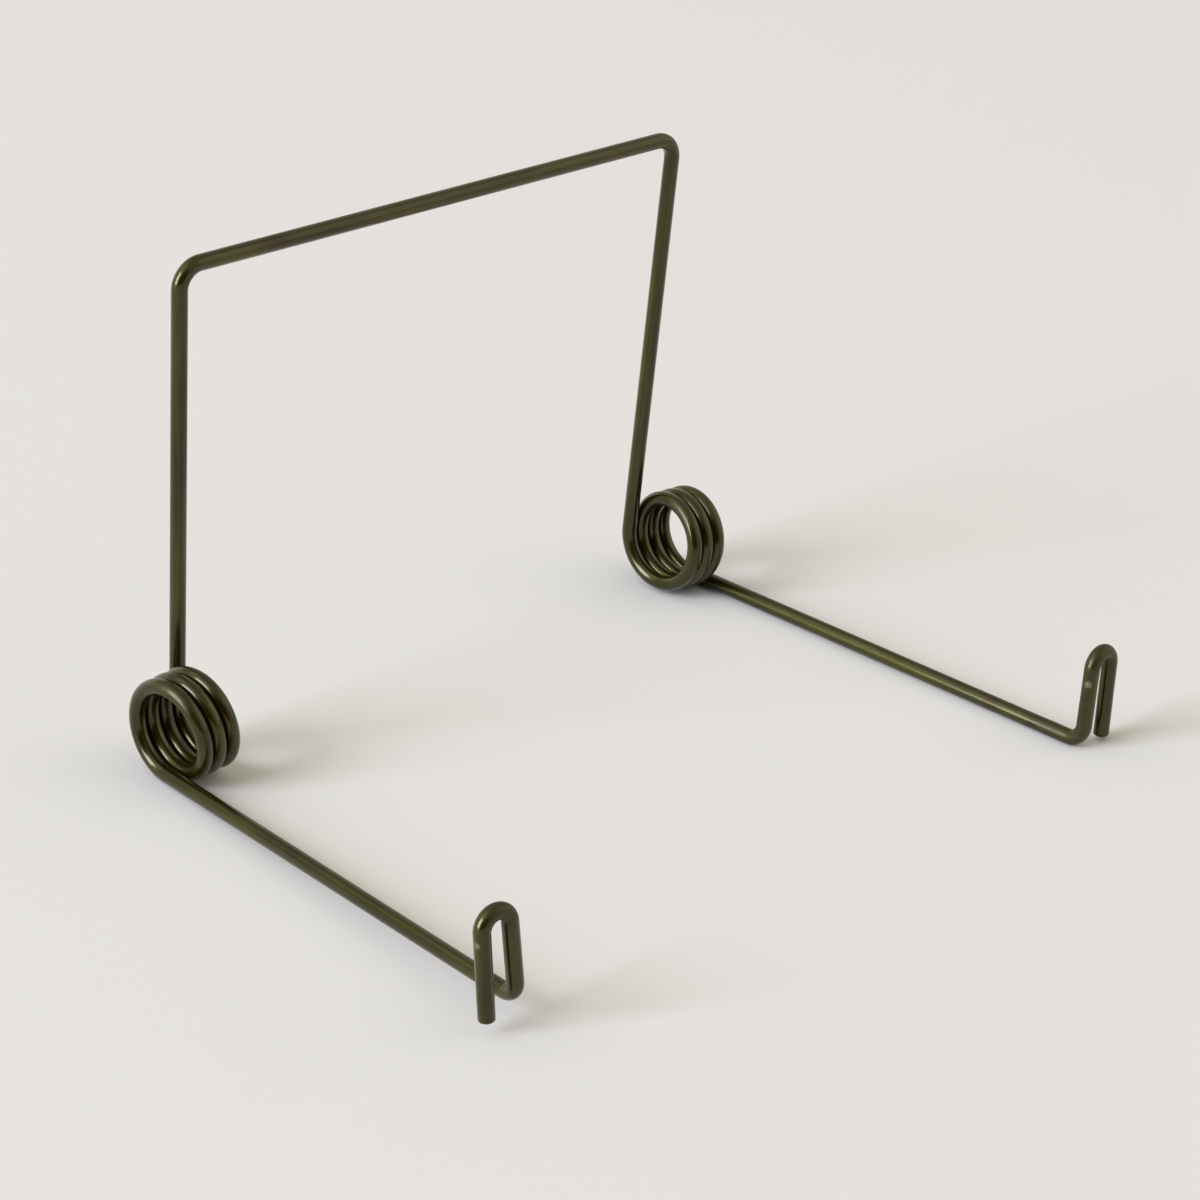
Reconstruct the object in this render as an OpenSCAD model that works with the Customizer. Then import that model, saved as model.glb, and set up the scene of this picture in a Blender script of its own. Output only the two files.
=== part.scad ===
// Pedal return spring: a double torsion spring bent from one length of round wire.
// Two close-wound coils share the pivot rod. A leg rises from the inner end of each coil
// and the crossbar joins the two legs, where it bears against the pedal. An arm runs
// forward from the outer end of each coil and ends in a hook that latches on the frame.
// The origin is on the pivot line, midway between the coils. +X runs along the pivot
// to the right, +Z is up along the legs, and the arms run towards -Y.

/* [Wire] */
// Diameter of the spring wire
wire_d = 2.8; // [2:0.1:2.8]

/* [Coils] */
// Mean diameter of the coils, from wire centre to wire centre
coil_mean_d = 16; // [14:0.5:20]
// Whole turns in each coil, before the quarter turn that leads into the leg
coil_turns = 3; // [2:1:5]
// Advance of the wire along the coil for each turn
coil_pitch = 2.9; // [2.9:0.1:3.6]
// Distance from the middle of the spring to the middle of each coil
coil_x = 58.5; // [40:0.5:80]
// Angle by which each coil's axis drops towards its outer end
coil_tilt = 4; // [0:0.5:8]
// Angle by which each coil's axis turns forward towards its outer end
coil_toe = 1; // [0:0.5:4]
// Angle by which the left half stands turned back from the right half about the pivot
twist = 1.8; // [0:0.2:3]

/* [Legs and crossbar] */
// Length of each leg, from the coil to the sharp corner of the crossbar
leg_len = 78.5; // [40:0.5:120]
// Angle by which the right leg leans forward over its arm
leg_lean = 3.5; // [0:0.5:20]
// Bend radius at each end of the crossbar, to the wire's centre
corner_r = 4; // [3:0.5:8]

/* [Arms] */
// Length of each arm, from the coil's lowest point to the sharp corner of its heel
arm_len = 91.7; // [50:0.1:130]
// Angle by which each arm runs outwards on its way forward
arm_splay = 3.2; // [0:0.2:6]

/* [Hooks] */
// Bend radius of the heel between arm and riser, to the wire's centre
heel_r = 3; // [2.5:0.5:5]
// Straight length of the riser above the heel
riser_len = 10.6; // [6:0.2:20]
// Angle by which the riser leans outwards
riser_out = 4.7; // [0:0.1:10]
// Angle by which the riser leans backwards
riser_back = 2.1; // [0:0.1:4]
// Clear gap between the riser and the tail at the top of the hook
hook_gap = 2.6; // [2:0.1:5]
// Angle through which the wire turns over at the top of the hook
hook_wrap = 178; // [175:0.5:180]
// Angle by which the hook's opening is turned backwards
hook_swing = 3.8; // [0:0.2:15]
// Length of the right tail, from the end of the hook's bend to the cut end
right_tail = 14; // [8:0.1:20]
// Length of the left tail
left_tail = 15.1; // [8:0.1:20]
// Size of the broken edge round the cut end
end_bevel = 0.4; // [0.1:0.1:0.6]

/* [Smoothness] */
// Flats round the bent wire
wire_sides = 16; // [14:2:18]
// Rings in each turn of a coil
rings_per_turn = 32; // [24:2:36]

/* [Hidden] */
$fn = 96;

wire_r = wire_d / 2;
coil_r = coil_mean_d / 2;
// the flats of the bent wire stand this far outside the round wire, so that no edge
// of the one touches an edge of the other where they meet
flat_proud = 0.01;
ring_r = (wire_r + flat_proud) / cos(180 / wire_sides);
// rings in the bends, one for each step of this many degrees
bend_step = 12;
steel = [0.235, 0.225, 0.155];

function unit(v) = v / norm(v);

// the part of v that is square to the direction t, as a unit vector
function square_to(v, t) = unit(v - (v * t) * t);

function angle_between(a, b) = acos(a * b);

// v turned by the angle a about the pivot line, and v as its mirror image
function turned(v, a) = [v[0], v[1] * cos(a) - v[2] * sin(a), v[1] * sin(a) + v[2] * cos(a)];
function mirrored(v) = [-v[0], v[1], v[2]];

function last(list) = list[len(list) - 1];

// A path is a list of [point, direction] pairs.
function reversed(path) = [for (i = [len(path) - 1:-1:0]) [path[i][0], -path[i][1]]];

// Bend of radius r through the angle a, from the point p and direction t, towards n
function bend(p, t, n, r, a) =
    let (steps = max(3, ceil(a / bend_step)))
    [for (i = [0:steps])
        let (b = a * i / steps)
        [p + r * (sin(b) * t + (1 - cos(b)) * n), cos(b) * t + sin(b) * n]];

// length that a rounded corner takes from each of its two straight sides
function corner_cut(r, a) = r * tan(a / 2);

// Both halves are bent alike. The right one is followed here, from the coil outwards.
turns_deg = 360 * coil_turns + 90 + leg_lean;
coil_axis = [cos(coil_tilt) * cos(coil_toe), -cos(coil_tilt) * sin(coil_toe), -sin(coil_tilt)];
coil_up = [sin(coil_tilt) * cos(coil_toe), -sin(coil_tilt) * sin(coil_toe), cos(coil_tilt)];
coil_back = cross(coil_up, coil_axis);
// distance along the axis for each degree of turn
rate = coil_pitch / 360;
// the coil's outer end on its axis, half its length from the middle
coil_end = [coil_x, 0, 0] + coil_axis * rate * turns_deg / 2;

// Point on the coil at the angle a, from its lowest point at the outer end
function coil_point(a) =
    coil_end - coil_axis * rate * a + coil_r * (sin(a) * coil_back - cos(a) * coil_up);

// Direction of the wire there, on its way in towards the leg
function coil_way(a) =
    unit(coil_r * (cos(a) * coil_back + sin(a) * coil_up) - coil_axis * rate * 180 / PI);

coil_steps = ceil(turns_deg / 360 * rings_per_turn);
coil_path = [for (i = [0:coil_steps])
    let (a = turns_deg * i / coil_steps)
    [coil_point(a), coil_way(a)]];

// The leg runs on along the coil's own run-out, up to its corner with the crossbar
leg_way = coil_way(turns_deg);
leg_corner = coil_point(turns_deg) + leg_way * leg_len;

// Arm, heel, riser and hook, down to where the straight tail begins
arm_way = [sin(arm_splay), -cos(arm_splay), 0];
riser_way = unit([tan(riser_out), tan(riser_back), 1]);
heel_turn = angle_between(arm_way, riser_way);
heel_start = coil_point(0) + arm_way * (arm_len - corner_cut(heel_r, heel_turn));
heel_path = bend(heel_start, arm_way, square_to(riser_way, arm_way), heel_r, heel_turn);
hook_start = last(heel_path)[0] + riser_way * riser_len;
hook_side = square_to([cos(hook_swing), sin(hook_swing), 0], riser_way);
hook_r = (hook_gap + wire_d) / 2;
hook_path = bend(hook_start, riser_way, hook_side, hook_r, hook_wrap);

// Bent wire of one half, from the tail to the crossbar. The half is turned by the angle a
// about the pivot line, and the other half stands turned by the angle b from it.
function bent_path(a, b) =
    let (
        bar_way = unit(turned(mirrored(leg_corner), b) - leg_corner),
        turn = angle_between(leg_way, bar_way),
        start = leg_corner - leg_way * corner_cut(corner_r, turn),
        corner = bend(start, leg_way, square_to(bar_way, leg_way), corner_r, turn)
    )
    [for (p = concat(reversed(hook_path), reversed(heel_path), coil_path, corner))
        [turned(p[0], a), turned(p[1], a)]];

// Point where the line through p along t meets the plane on which axis k is h
function met(p, t, k, h) =
    let (q = p + t * (h - p[k]) / t[k])
    [for (j = [0:2]) j == k ? h : q[j]];

// The crossbar and the tails are true cylinders, and the bent wire meets them at flat
// joints: the crossbar this far to each side, each tail at a whole millimetre of height.
bar_half = floor(last(bent_path(0, -twist))[0][0] - 0.5);

// Path of one half with its two joints
function half_path(a, b) =
    let (
        path = bent_path(a, b),
        first = path[0],
        end = last(path)
    )
    concat(
        [[met(first[0], first[1], 2, floor(first[0][2] - 0.3)), first[1]]],
        path,
        [[met(end[0], end[1], 0, bar_half), end[1]]]
    );

// Side direction at each place, carried along the path with as little turn as possible
function sides(path) = [for (i = 0, u = square_to([0, 1, 0], path[0][1]);
    i < len(path);
    i = i + 1, u = i < len(path) ? square_to(u, path[i][1]) : u) u];

// Ring of points round the wire at the place q, with the side direction u
function ring(q, u) =
    let (v = cross(q[1], u))
    [for (k = [0:wire_sides - 1])
        let (a = 360 * k / wire_sides)
        q[0] + ring_r * (cos(a) * u + sin(a) * v)];

// The same ring slid along the wire onto the joint's plane, which is square to axis k
function flat_ring(q, u, k) = [for (p = ring(q, u)) met(p, q[1], k, q[0][k])];

// Swept wire of one half, closed with a flat cap at each joint
module bent_half(path) {
    side = sides(path);
    n = len(path);
    points = [for (i = [0:n - 1])
        each (i == 0 ? flat_ring(path[i], side[i], 2)
            : i == n - 1 ? flat_ring(path[i], side[i], 0)
            : ring(path[i], side[i]))];
    walls = [for (i = [0:n - 2], k = [0:wire_sides - 1])
        let (
            a = i * wire_sides + k,
            b = i * wire_sides + (k + 1) % wire_sides
        )
        each [[a, a + wire_sides, b], [b, a + wire_sides, b + wire_sides]]];
    first_cap = [for (k = [0:wire_sides - 1]) k];
    end_cap = [for (k = [wire_sides - 1:-1:0]) (n - 1) * wire_sides + k];
    polyhedron(points, concat([first_cap], walls, [end_cap]), convexity = 10);
}

// Straight tail below its joint, cut square to the wire and with its edge broken
module tail(path, tail_len) {
    joint = path[0][0];
    way = -path[0][1];
    run = tail_len - norm(joint - path[1][0]);
    over = wire_d;
    difference() {
        translate(joint)
            rotate([0, acos(way[2]), atan2(way[1], way[0])])
                rotate_extrude()
                    polygon([
                        [0, -over],
                        [wire_r, -over],
                        [wire_r, run - end_bevel],
                        [wire_r - end_bevel, run],
                        [0, run]
                    ]);
        translate([joint[0] - 2 * over, joint[1] - 2 * over, joint[2]])
            cube(4 * over);
    }
}

module half_wire(a, b, tail_len) {
    path = half_path(a, b);
    bent_half(path);
    tail(path, tail_len);
}

// Straight crossbar between the two joints
module crossbar() {
    joint = last(half_path(0, -twist));
    way = joint[1];
    over = wire_d;
    span = 2 * bar_half / -way[0];
    intersection() {
        translate(joint[0] - way * over)
            rotate([0, acos(way[2]), atan2(way[1], way[0])])
                cylinder(h = span + 2 * over, r = wire_r);
        translate([-bar_half, -leg_len, 0])
            cube([2 * bar_half, 2 * leg_len, 2 * leg_len]);
    }
}

module spring_wire() {
    color(steel)
        union() {
            half_wire(0, -twist, right_tail);
            mirror([1, 0, 0])
                half_wire(-twist, twist, left_tail);
            crossbar();
        }
}

spring_wire();
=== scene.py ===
import bpy
import numpy as np
from mathutils import Euler, Matrix


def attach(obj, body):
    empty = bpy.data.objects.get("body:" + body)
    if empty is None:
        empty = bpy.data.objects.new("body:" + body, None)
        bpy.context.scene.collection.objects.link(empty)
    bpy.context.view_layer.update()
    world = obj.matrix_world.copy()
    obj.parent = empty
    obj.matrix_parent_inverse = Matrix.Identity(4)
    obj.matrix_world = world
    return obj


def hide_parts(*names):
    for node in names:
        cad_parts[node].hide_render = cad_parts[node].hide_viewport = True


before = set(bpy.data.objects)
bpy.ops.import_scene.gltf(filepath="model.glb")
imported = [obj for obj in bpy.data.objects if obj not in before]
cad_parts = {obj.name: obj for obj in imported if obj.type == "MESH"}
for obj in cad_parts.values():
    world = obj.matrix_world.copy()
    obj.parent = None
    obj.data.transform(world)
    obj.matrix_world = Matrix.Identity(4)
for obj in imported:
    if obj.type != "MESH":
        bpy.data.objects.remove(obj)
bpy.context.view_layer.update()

# The wire
# One length of 2.8 mm oil-tempered spring wire, drawn, hardened in oil and tempered before
# it was wound. Two close coils were turned on an arbor, and the legs, the crossbar, the arms
# and the hooks were bent cold over pins, so it has no join, and its two ends are cut.
MM = 0.001
WIRE_R = 1.4 * MM
COIL_R = 8 * MM
COIL_TURNS = 3
COIL_PITCH = 2.9 * MM
COIL_X = 58.5 * MM
COIL_TILT = np.radians(4)
COIL_TOE = np.radians(1)
LEG_LENGTH = 78.5 * MM
LEG_LEAN = np.radians(3.5)
CORNER_R = 4 * MM
ARM_LENGTH = 91.7 * MM
ARM_SPLAY = np.radians(3.2)
HEEL_R = 3 * MM
RISER_LENGTH = 10.6 * MM
RISER_OUT = np.radians(4.7)
RISER_BACK = np.radians(2.1)
HOOK_R = 2.7 * MM
HOOK_WRAP = np.radians(178)
HOOK_SWING = np.radians(3.8)
RIGHT_TAIL = 14.0 * MM
LEFT_TAIL = 15.1 * MM
# the left half stands turned back from the right half by this angle about the pivot
TWIST = np.radians(1.8)
# radius of the broken edge round each cut end
END_ROUND = 0.45 * MM

# how finely the wire is divided: rings in a coil, a bend and a cut edge, the step along a
# straight stretch, and flats round the wire
COIL_RINGS = 320
BEND_RINGS = 28
EDGE_RINGS = 7
STRAIGHT_STEP = 4 * MM
WIRE_SIDES = 40


def unit(v):
    """Direction of v: v over its length."""
    return v / np.linalg.norm(v, axis=-1, keepdims=True)


def square_to(v, way):
    """Part of v that is square to the direction way, as a unit vector."""
    return unit(v - (v @ way) * way)


def about_pivot(v, turn):
    """v turned by the angle turn about the pivot line, which is the X axis."""
    x, y, z = v[..., 0], v[..., 1], v[..., 2]
    return np.stack([x, y * np.cos(turn) - z * np.sin(turn), y * np.sin(turn) + z * np.cos(turn)], -1)


def straight(start, end):
    """Rows of (place, way) along the line from start to end, a few millimetres apart."""
    count = int(np.linalg.norm(end - start) / STRAIGHT_STEP) + 2
    share = np.linspace(0, 1, count)[:, None]
    places = start + share * (end - start)
    return np.stack([places, np.broadcast_to(unit(end - start), places.shape)], 1)


def bend(start, way, towards, radius, angle):
    """Rows of (place, way) round an arc: place = start + r (sin b way + (1 - cos b) towards),
    and the wire's way there is cos b way + sin b towards, for b from 0 to the angle."""
    b = np.linspace(0, angle, BEND_RINGS)[:, None]
    places = start + radius * (np.sin(b) * way + (1 - np.cos(b)) * towards)
    return np.stack([places, np.cos(b) * way + np.sin(b) * towards], 1)


def helix(start_on_axis, axis, up, angle):
    """Rows of (place, way) along the coil: place = point on the axis + r (sin a back - cos a up),
    where that point moves in against the axis by the pitch for each turn."""
    back = np.cross(up, axis)
    rate = COIL_PITCH / (2 * np.pi)
    a = np.linspace(0, angle, COIL_RINGS)[:, None]
    places = start_on_axis - axis * rate * a + COIL_R * (np.sin(a) * back - np.cos(a) * up)
    ways = unit(COIL_R * (np.cos(a) * back + np.sin(a) * up) - axis * rate)
    return np.stack([places, ways], 1)


def corner_cut(radius, angle):
    """Length that a rounded corner takes from each of its two straight sides."""
    return radius * np.tan(angle / 2)


# the right coil, from its lowest point at the outer end: its axis drops and turns forward a
# little towards that end
coil_angle = np.radians(COIL_TURNS * 360 + 90) + LEG_LEAN
coil_axis = np.array([
    np.cos(COIL_TILT) * np.cos(COIL_TOE),
    -np.cos(COIL_TILT) * np.sin(COIL_TOE),
    -np.sin(COIL_TILT),
])
coil_up = np.array([
    np.sin(COIL_TILT) * np.cos(COIL_TOE),
    -np.sin(COIL_TILT) * np.sin(COIL_TOE),
    np.cos(COIL_TILT),
])
coil_length = COIL_PITCH * coil_angle / (2 * np.pi)
coil_end = np.array([COIL_X, 0, 0]) + coil_axis * coil_length / 2
coil = helix(coil_end, coil_axis, coil_up, coil_angle)

# the leg runs on along the coil's own run-out to its corner with the crossbar
leg_way = coil[-1, 1]
leg_corner = coil[-1, 0] + leg_way * LEG_LENGTH

# arm, heel, riser and hook, as the wire comes off the coil's outer end
arm_way = np.array([np.sin(ARM_SPLAY), -np.cos(ARM_SPLAY), 0])
riser_way = unit(np.array([np.tan(RISER_OUT), np.tan(RISER_BACK), 1]))
heel_angle = np.arccos(arm_way @ riser_way)
heel_start = coil[0, 0] + arm_way * (ARM_LENGTH - corner_cut(HEEL_R, heel_angle))
heel = bend(heel_start, arm_way, square_to(riser_way, arm_way), HEEL_R, heel_angle)
hook_start = heel[-1, 0] + riser_way * RISER_LENGTH
hook_side = square_to(np.array([np.cos(HOOK_SWING), np.sin(HOOK_SWING), 0]), riser_way)
hook = bend(hook_start, riser_way, hook_side, HOOK_R, HOOK_WRAP)


def reverse(rows):
    """The same stretch of wire walked the other way."""
    return rows[::-1] * np.array([[1], [-1]])


def half(turn, other_turn, tail_length):
    """Rows of (place, way) of one half, from its cut end to the crossbar's first bend. The
    half stands turned about the pivot, and the other half stands turned from it."""
    far_corner = about_pivot(leg_corner * np.array([-1, 1, 1]), other_turn)
    bar_way = unit(far_corner - leg_corner)
    angle = np.arccos(leg_way @ bar_way)
    corner_start = leg_corner - leg_way * corner_cut(CORNER_R, angle)
    rows = np.concatenate([
        reverse(straight(hook[-1, 0], hook[-1, 0] + hook[-1, 1] * tail_length))[:-1],
        reverse(hook),
        reverse(straight(heel[-1, 0], hook[0, 0]))[1:-1],
        reverse(heel),
        reverse(straight(coil[0, 0], heel[0, 0]))[1:-1],
        coil,
        straight(coil[-1, 0], corner_start)[1:-1],
        bend(corner_start, leg_way, square_to(bar_way, leg_way), CORNER_R, angle),
    ])
    return about_pivot(rows, turn)


# the left half is bent like the right one and then mirrored
right_half = half(0, -TWIST, RIGHT_TAIL)
left_half = half(-TWIST, TWIST, LEFT_TAIL) * np.array([-1, 1, 1])
crossbar = straight(right_half[-1, 0], left_half[-1, 0])
centre_line = np.concatenate([right_half, crossbar[1:-1], reverse(left_half)])


def carried_sides(ways):
    """Side direction at each ring: the one before it, made square to the wire again, so that
    the wire's surface is never wrung."""
    sides = np.empty_like(ways)
    sides[0] = square_to(np.array([0, 1, 0]), ways[0])
    for i in range(1, len(ways)):
        sides[i] = square_to(sides[i - 1], ways[i])
    return sides


def slid(row, steps):
    """Copies of one row, each moved along the wire's way by one of the steps."""
    places = row[0] + steps[:, None] * row[1]
    return np.stack([places, np.broadcast_to(row[1], places.shape)], 1)


def wire_rings(rows):
    """Grid of points [ring, side]: each ring is centre + radius (cos a side + sin a other side).
    At both ends the last rings shrink along a quarter circle, which rounds the cut edge.
    Beside it comes each point's place on the straight wire, before it was bent."""
    turn_in = np.linspace(0, np.pi / 2, EDGE_RINGS)
    shrink = END_ROUND * (1 - np.cos(turn_in))
    reach = END_ROUND * (np.sin(turn_in) - 1)
    rows = np.concatenate([slid(rows[0], -reach[::-1]), rows[1:-1], slid(rows[-1], reach)])
    radius = np.full(len(rows), WIRE_R)
    radius[:EDGE_RINGS] -= shrink[::-1]
    radius[-EDGE_RINGS:] -= shrink
    along = np.append(0, np.cumsum(np.linalg.norm(np.diff(rows[:, 0], axis=0), axis=1)))
    a = np.linspace(0, 2 * np.pi, WIRE_SIDES, endpoint=False)
    side = carried_sides(rows[:, 1])
    other = np.cross(rows[:, 1], side)
    cos_r, sin_r = radius[:, None] * np.cos(a), radius[:, None] * np.sin(a)
    points = (
        rows[:, None, 0]
        + cos_r[..., None] * side[:, None]
        + sin_r[..., None] * other[:, None]
    )
    drawn = np.stack([cos_r, sin_r, np.broadcast_to(along[:, None], cos_r.shape)], -1)
    return points, drawn


def wire_mesh(name, points, drawn):
    """Closed tube through a grid of rings, with a flat cut face at each end. Its attribute
    drawn_place is each point's place on the straight wire."""
    rings, sides = points.shape[:2]
    i = np.arange(rings - 1)[:, None] * sides
    k = np.arange(sides)[None]
    k_next = (k + 1) % sides
    walls = np.stack([i + k, i + k_next, i + sides + k_next, i + sides + k], -1)
    cap = np.arange(sides)
    faces = walls.reshape(-1, 4).tolist()
    faces += [cap[::-1].tolist(), (cap + (rings - 1) * sides).tolist()]
    mesh = bpy.data.meshes.new(name)
    mesh.from_pydata(points.reshape(-1, 3).tolist(), [], faces)
    place = mesh.attributes.new("drawn_place", "FLOAT_VECTOR", "POINT")
    place.data.foreach_set("vector", drawn.ravel())
    mesh.polygons.foreach_set("use_smooth", np.ones(len(mesh.polygons), bool))
    mesh.update()
    piece = bpy.data.objects.new(name, mesh)
    bpy.context.scene.collection.objects.link(piece)
    return piece


points, drawn = wire_rings(centre_line)
wire = wire_mesh("spring_wire_bent", points, drawn)


def linear(hex_colour):
    """Linear RGBA of an sRGB hex colour: c / 12.92 where it is dark, else ((c + 0.055) / 1.055)^2.4."""
    c = np.array([int(hex_colour[i:i + 2], 16) for i in (0, 2, 4)]) / 255
    c = np.where(c <= 0.04045, c / 12.92, ((c + 0.055) / 1.055) ** 2.4)
    return (*c, 1)


def add(tree, kind, settings=None, **links):
    """Adds a node of that kind to the tree. A setting names one of its own properties. A link
    gives an input its value, or the output socket that feeds it, and names the input, or
    numbers it as in _0 where inputs share a name."""
    node = tree.nodes.new(kind)
    for name, value in (settings or {}).items():
        setattr(node, name, value)
    for name, value in links.items():
        key = int(name[1:]) if name[1:].isdigit() else name.replace("_", " ")
        socket = node.inputs[key]
        if isinstance(value, bpy.types.NodeSocket):
            tree.links.new(value, socket)
        else:
            socket.default_value = value
    return node


# Oil-tempered spring wire: hard-drawn steel under a thin dark oxide, with a film of oil left
# on it. The oxide gives it a broad olive brown sheen, the oil gives small white glints, and
# the die leaves fine streaks along the wire.
steel = bpy.data.materials.new("oil_tempered_spring_wire")
steel.use_nodes = True
tree = steel.node_tree
shader = tree.nodes["Principled BSDF"]
drawn_place = add(
    tree, "ShaderNodeAttribute", {"attribute_name": "drawn_place"}
).outputs["Vector"]
part_place = add(tree, "ShaderNodeTexCoord").outputs["Object"]

# streaks are 0.3 mm wide and some 30 mm long
streak_way = add(
    tree, "ShaderNodeMapping", Vector=drawn_place, Scale=(1, 1, 0.01)
).outputs["Vector"]
streaks = add(
    tree, "ShaderNodeTexNoise",
    Vector=streak_way, Scale=1 / (0.6 * MM), Detail=3.0, Roughness=0.6,
).outputs["Fac"]
# temper tints drift between olive and brown over some 6 mm of wire
tint_way = add(
    tree, "ShaderNodeMapping", Vector=drawn_place, Scale=(1, 1, 0.35)
).outputs["Vector"]
tints = add(
    tree, "ShaderNodeTexNoise",
    Vector=tint_way, Scale=1 / (2.2 * MM), Detail=2.0, Roughness=0.5,
).outputs["Fac"]
tint_share = add(
    tree, "ShaderNodeMapRange", Value=tints, From_Min=0.55, From_Max=0.8
).outputs["Result"]
# the oxide is deeper or thinner by turns, over some 15 mm of wire
depth_way = add(
    tree, "ShaderNodeMapping", Vector=drawn_place, Scale=(1, 1, 0.15)
).outputs["Vector"]
depths = add(
    tree, "ShaderNodeTexNoise", Vector=depth_way, Scale=1 / (2.2 * MM), Detail=1.0
).outputs["Fac"]
# the edges of the patches below are ragged by grains of a quarter of a millimetre
ragged = add(
    tree, "ShaderNodeTexNoise", Vector=part_place, Scale=1 / (0.5 * MM), Detail=2.0
).outputs["Fac"]


def patches(rows, ragged_by, soft):
    """Share of the surface that lies in one of the patches: 1 inside the radius, falling to 0
    over a soft edge that the ragged noise pushes in and out. All of it is in mm, and a row is
    a place in the part's frame and a radius."""
    share = 0.0
    for x, y, z, radius in rows:
        away = add(
            tree, "ShaderNodeVectorMath", {"operation": "DISTANCE"},
            _0=part_place, _1=(x * MM, y * MM, z * MM),
        ).outputs["Value"]
        reach = add(
            tree, "ShaderNodeMath", {"operation": "MULTIPLY_ADD"},
            _0=ragged, _1=ragged_by * MM, _2=away,
        ).outputs["Value"]
        edge = (radius + ragged_by / 2) * MM
        inside = add(
            tree, "ShaderNodeMapRange",
            Value=reach, From_Min=edge, From_Max=edge + soft * MM, To_Min=1.0, To_Max=0.0,
        ).outputs["Result"]
        share = add(
            tree, "ShaderNodeMath", {"operation": "MAXIMUM"}, _0=inside, _1=share
        ).outputs["Value"]
    return share


# the oxide came out browner here: on the right coil, the left coil, the right hook's riser,
# the right arm, the left arm and the crossbar
browner_places = [
    (58.3, -7.6, 5.5, 1.2),
    (55.2, 1.3, 8.2, 0.7),
    (-55.8, -8.6, -2.3, 1.1),
    (-56.5, -7.9, 4.6, 0.6),
    (-61.9, -9.1, 1.3, 0.5),
    (66.9, -91.2, -2.0, 0.9),
    (66.9, -91.2, 0.6, 0.8),
    (66.0, -82.1, -7.6, 0.8),
    (65.4, -72.5, -7.7, 1.2),
    (-65.2, -36.1, -5.9, 0.8),
    (-36.3, 4.0, 79.4, 2.2),
]
# the bending pins and the arbor's guide left the wire duller and greyer here, with less oil
# on it: over both hooks, at the right arm's end and on the crown of each coil's front turn
dulled_places = [
    (71.3, -91.0, 8.0, 3.6),
    (-70.9, -90.7, 10.6, 2.6),
    (66.3, -87.5, -7.6, 4.0),
    (54.2, -3.6, 7.7, 2.2),
    (-65.0, -4.2, 7.2, 2.2),
    (-65.0, -0.8, 8.4, 2.2),
]
# each hook rubbed here, and the oxide is worn through to paler steel
rubbed_places = [
    (67.3, -91.8, 3.2, 0.15),
    (-75.7, -90.9, 6.4, 0.05),
]
brown_share = patches(browner_places, ragged_by=1.6, soft=1.0)
dulled_share = patches(dulled_places, ragged_by=1.6, soft=1.5)
bare_share = patches(rubbed_places, ragged_by=0.8, soft=0.7)

# painted reflection of the warm floor: the crossbar's colour is made browner and paler on its lower
# side, between its two bends
part_xyz = add(tree, "ShaderNodeSeparateXYZ", _0=part_place).outputs
aside = add(
    tree, "ShaderNodeMath", {"operation": "ABSOLUTE"}, _0=part_xyz["X"]
).outputs["Value"]
on_bar = add(
    tree, "ShaderNodeMapRange",
    Value=aside, From_Min=44 * MM, From_Max=53 * MM, To_Min=0.6, To_Max=0.0,
).outputs["Result"]
under = add(
    tree, "ShaderNodeMapRange",
    Value=part_xyz["Z"], From_Min=79.0 * MM, From_Max=79.8 * MM, To_Min=1.0, To_Max=0.0,
).outputs["Result"]
painted_floor_reflection_share = add(
    tree, "ShaderNodeMath", {"operation": "MULTIPLY"}, _0=on_bar, _1=under
).outputs["Value"]

# colour, from the oxide's olive to bare steel, with a painted reflection of the floor under the
# crossbar. Inputs 6 and 7 of a Mix node are its two colours, 2 and 3 its two numbers.
all_tints = add(
    tree, "ShaderNodeMath", {"operation": "MAXIMUM"}, _0=tint_share, _1=brown_share
).outputs["Value"]
tinted = add(
    tree, "ShaderNodeMix", {"data_type": "RGBA"},
    _0=all_tints, _6=linear("3A390A"), _7=linear("372D07"),
).outputs[2]
# painted floor reflection: the crossbar's lower side is mixed towards a paler brown
tints_and_painted_floor_reflection = add(
    tree, "ShaderNodeMix", {"data_type": "RGBA"},
    _0=painted_floor_reflection_share, _6=tinted, _7=linear("483C10"),
).outputs[2]
streak_share = add(
    tree, "ShaderNodeMapRange",
    Value=streaks, From_Min=0.35, From_Max=0.7, To_Min=0.82, To_Max=1.15,
).outputs["Result"]
streaked = add(
    tree, "ShaderNodeVectorMath", {"operation": "SCALE"}, _0=tints_and_painted_floor_reflection, Scale=streak_share
).outputs["Vector"]
depth_share = add(
    tree, "ShaderNodeMapRange",
    Value=depths, From_Min=0.3, From_Max=0.7, To_Min=0.7, To_Max=1.3,
).outputs["Result"]
toned = add(
    tree, "ShaderNodeVectorMath", {"operation": "SCALE"}, _0=streaked, Scale=depth_share
).outputs["Vector"]
greyed = add(
    tree, "ShaderNodeMix", {"data_type": "RGBA"},
    _0=dulled_share, _6=toned, _7=linear("3F3E21"),
).outputs[2]
worn = add(
    tree, "ShaderNodeMix", {"data_type": "RGBA"},
    _0=bare_share, _6=greyed, _7=linear("86826A"),
).outputs[2]
tree.links.new(worn, shader.inputs["Base Color"])

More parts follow.
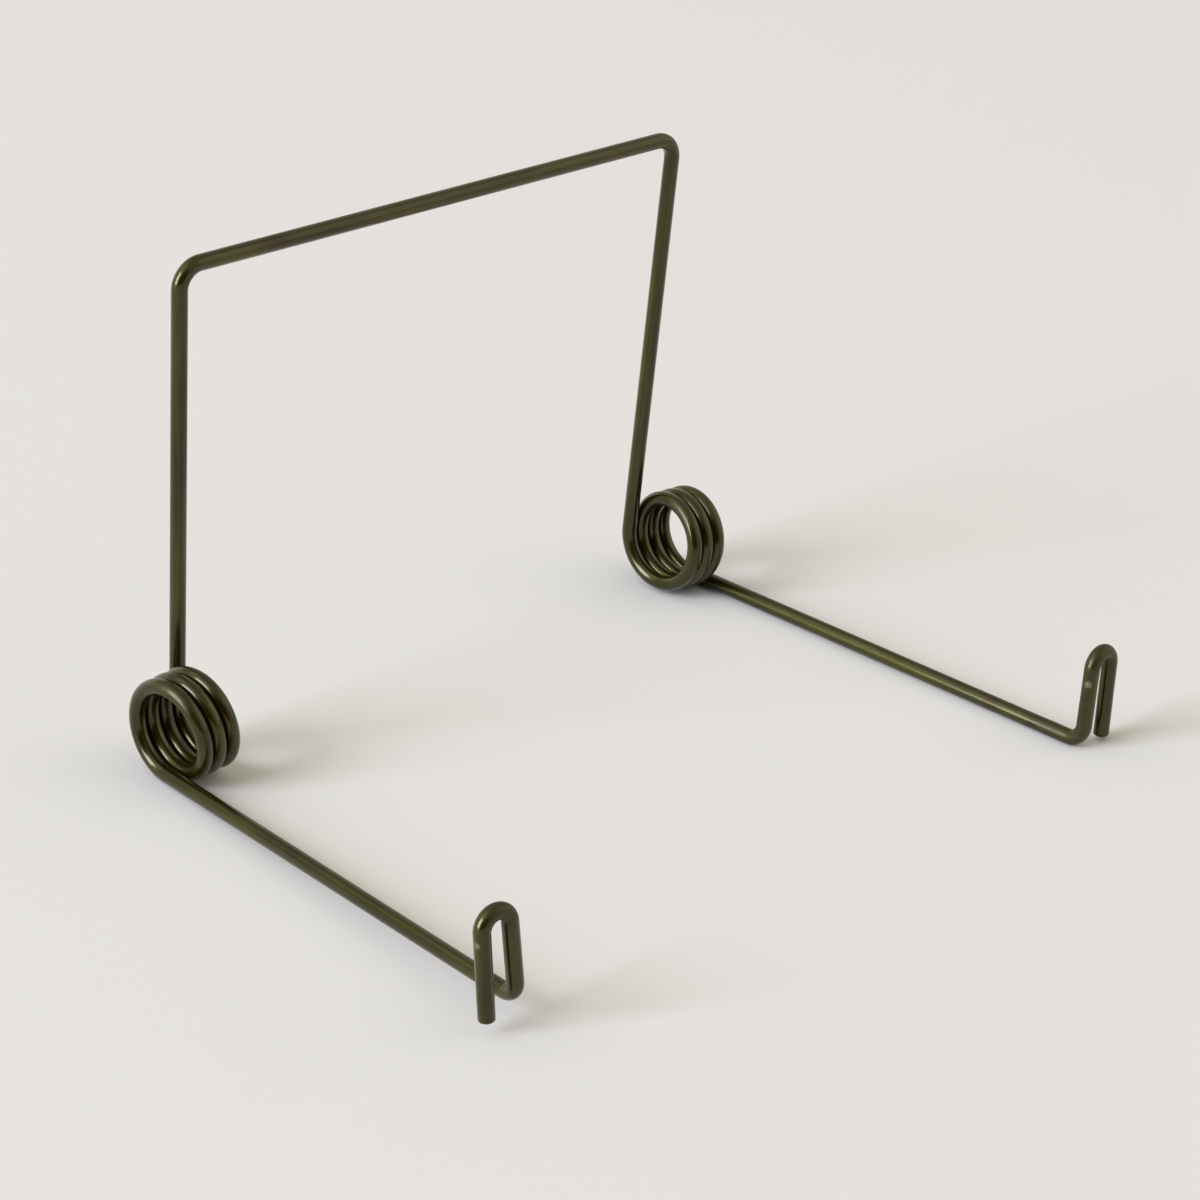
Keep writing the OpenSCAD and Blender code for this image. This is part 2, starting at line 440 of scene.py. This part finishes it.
# gloss: the streaks, the dulled places and the bare ones each have their own roughness, and
# the film of oil is thinner over the dulled ones
drawn_rough = add(
    tree, "ShaderNodeMapRange",
    Value=streaks, From_Min=0.3, From_Max=0.7, To_Min=0.24, To_Max=0.31,
).outputs["Result"]
dulled_rough = add(
    tree, "ShaderNodeMix", {"data_type": "FLOAT"}, _0=dulled_share, _2=drawn_rough, _3=0.44
).outputs[0]
rough = add(
    tree, "ShaderNodeMix", {"data_type": "FLOAT"}, _0=bare_share, _2=dulled_rough, _3=0.4
).outputs[0]
oil_film = add(
    tree, "ShaderNodeMix", {"data_type": "FLOAT"}, _0=dulled_share, _2=0.57, _3=0.25
).outputs[0]
bump = add(
    tree, "ShaderNodeBump", Height=streaks, Strength=0.15, Distance=0.02 * MM
).outputs["Normal"]
tree.links.new(rough, shader.inputs["Roughness"])
tree.links.new(oil_film, shader.inputs["Coat Weight"])
tree.links.new(bump, shader.inputs["Normal"])
shader.inputs["Coat Roughness"].default_value = 0.12
shader.inputs["Metallic"].default_value = 0.74
shader.inputs["Specular IOR Level"].default_value = 0.3
wire.data.materials.append(steel)

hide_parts("spring_wire")
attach(wire, "root")

# The table
# A plain board painted white, far wider than the view. It lies at the wire's lowest point,
# where the coils and the right arm touch down.
BOARD_HALF = 4.0
board_z = points[..., 2].min()
board_mesh = bpy.data.meshes.new("painted_board")
corners = np.array([[-1, -1, 0], [1, -1, 0], [1, 1, 0], [-1, 1, 0]]) * BOARD_HALF + [0, 0, board_z]
board_mesh.from_pydata(corners.tolist(), [], [[0, 1, 2, 3]])
board = bpy.data.objects.new("painted_board", board_mesh)
bpy.context.scene.collection.objects.link(board)

# Matt emulsion paint: off-white, with no shine to speak of.
paint = bpy.data.materials.new("white_emulsion_paint")
paint.use_nodes = True
paint_shader = paint.node_tree.nodes["Principled BSDF"]
paint_shader.inputs["Base Color"].default_value = linear("E1E0DD")
paint_shader.inputs["Roughness"].default_value = 0.9
paint_shader.inputs["Specular IOR Level"].default_value = 0.1
board.data.materials.append(paint)

# The light
# Daylight from a tall window at the left of a pale room, with its ceiling and two of its walls
# lit. The room is dark only behind the camera, which the wire shows as the dark band between
# its bright edges.
world = bpy.data.worlds.new("pale_room")
bpy.context.scene.world = world
world.use_nodes = True
room = world.node_tree


def direction(azimuth, elevation):
    """Unit vector at that azimuth, from +Y towards +X, and that height above the horizon."""
    a, e = np.radians([azimuth, elevation])
    return np.array([np.sin(a) * np.cos(e), np.cos(a) * np.cos(e), np.sin(e)])


# the dark end is full within 26 degrees of its middle and gone at 48
look = add(room, "ShaderNodeTexCoord").outputs["Generated"]
facing = add(
    room, "ShaderNodeVectorMath", {"operation": "DOT_PRODUCT"}, _0=look, _1=direction(-133, 8)
).outputs["Value"]
dark_share = add(
    room, "ShaderNodeMapRange", {"interpolation_type": "SMOOTHSTEP"},
    Value=facing, From_Min=0.67, From_Max=0.9,
).outputs["Result"]
walls = add(
    room, "ShaderNodeMix", {"data_type": "RGBA"},
    _0=dark_share, _6=linear("C2BFAF"), _7=linear("16140B"),
).outputs[2]
room.links.new(walls, room.nodes["Background"].inputs["Color"])


def soft_light(name, azimuth, elevation, distance, width, height, watts, colour):
    """A flat light of that width and height, which faces the spring from that distance."""
    light = bpy.data.lights.new(name, "AREA")
    light.shape = "RECTANGLE"
    light.size, light.size_y = width, height
    light.energy = watts
    light.color = linear(colour)[:3]
    lamp = bpy.data.objects.new(name, light)
    lamp.location = direction(azimuth, elevation) * distance
    lamp.rotation_euler = (-lamp.location).to_track_quat("-Z", "Y").to_euler()
    bpy.context.scene.collection.objects.link(lamp)


soft_light(
    "window", azimuth=-76, elevation=22.5, distance=10,
    width=4.8, height=6.4, watts=1280, colour="E6E8FD",
)
soft_light(
    "lit_ceiling", azimuth=-60, elevation=54, distance=5,
    width=5.4, height=3.2, watts=44, colour="FFFCF5",
)
soft_light(
    "white_wall", azimuth=126, elevation=30, distance=5,
    width=5.3, height=4.2, watts=40, colour="FFFCF5",
)
soft_light(
    "far_wall", azimuth=-10, elevation=13, distance=5,
    width=4.2, height=2.0, watts=17, colour="FFFCF5",
)

# The camera
# A long lens, 64 cm from the middle of the pivot line. It looks down at the spring over its
# left arm and leans by 3 degrees, as in the photograph.
CAMERA_PLACE = (-0.390074, -0.423067, 0.289555)
LOOK_DOWN = np.radians(26.209)
LOOK_RIGHT = np.radians(45.390)
LEAN = np.radians(2.967)
camera_data = bpy.data.cameras.new("camera")
camera_data.sensor_width = 36
camera_data.lens = 108.372
camera_data.clip_start = 0.01
camera = bpy.data.objects.new("camera", camera_data)
looking = Euler((np.pi / 2 - LOOK_DOWN, 0, -LOOK_RIGHT)).to_matrix().to_4x4()
camera.matrix_world = Matrix.Translation(CAMERA_PLACE) @ looking @ Matrix.Rotation(LEAN, 4, "Z")
bpy.context.scene.collection.objects.link(camera)
bpy.context.scene.camera = camera
bpy.context.scene.view_settings.view_transform = "Standard"
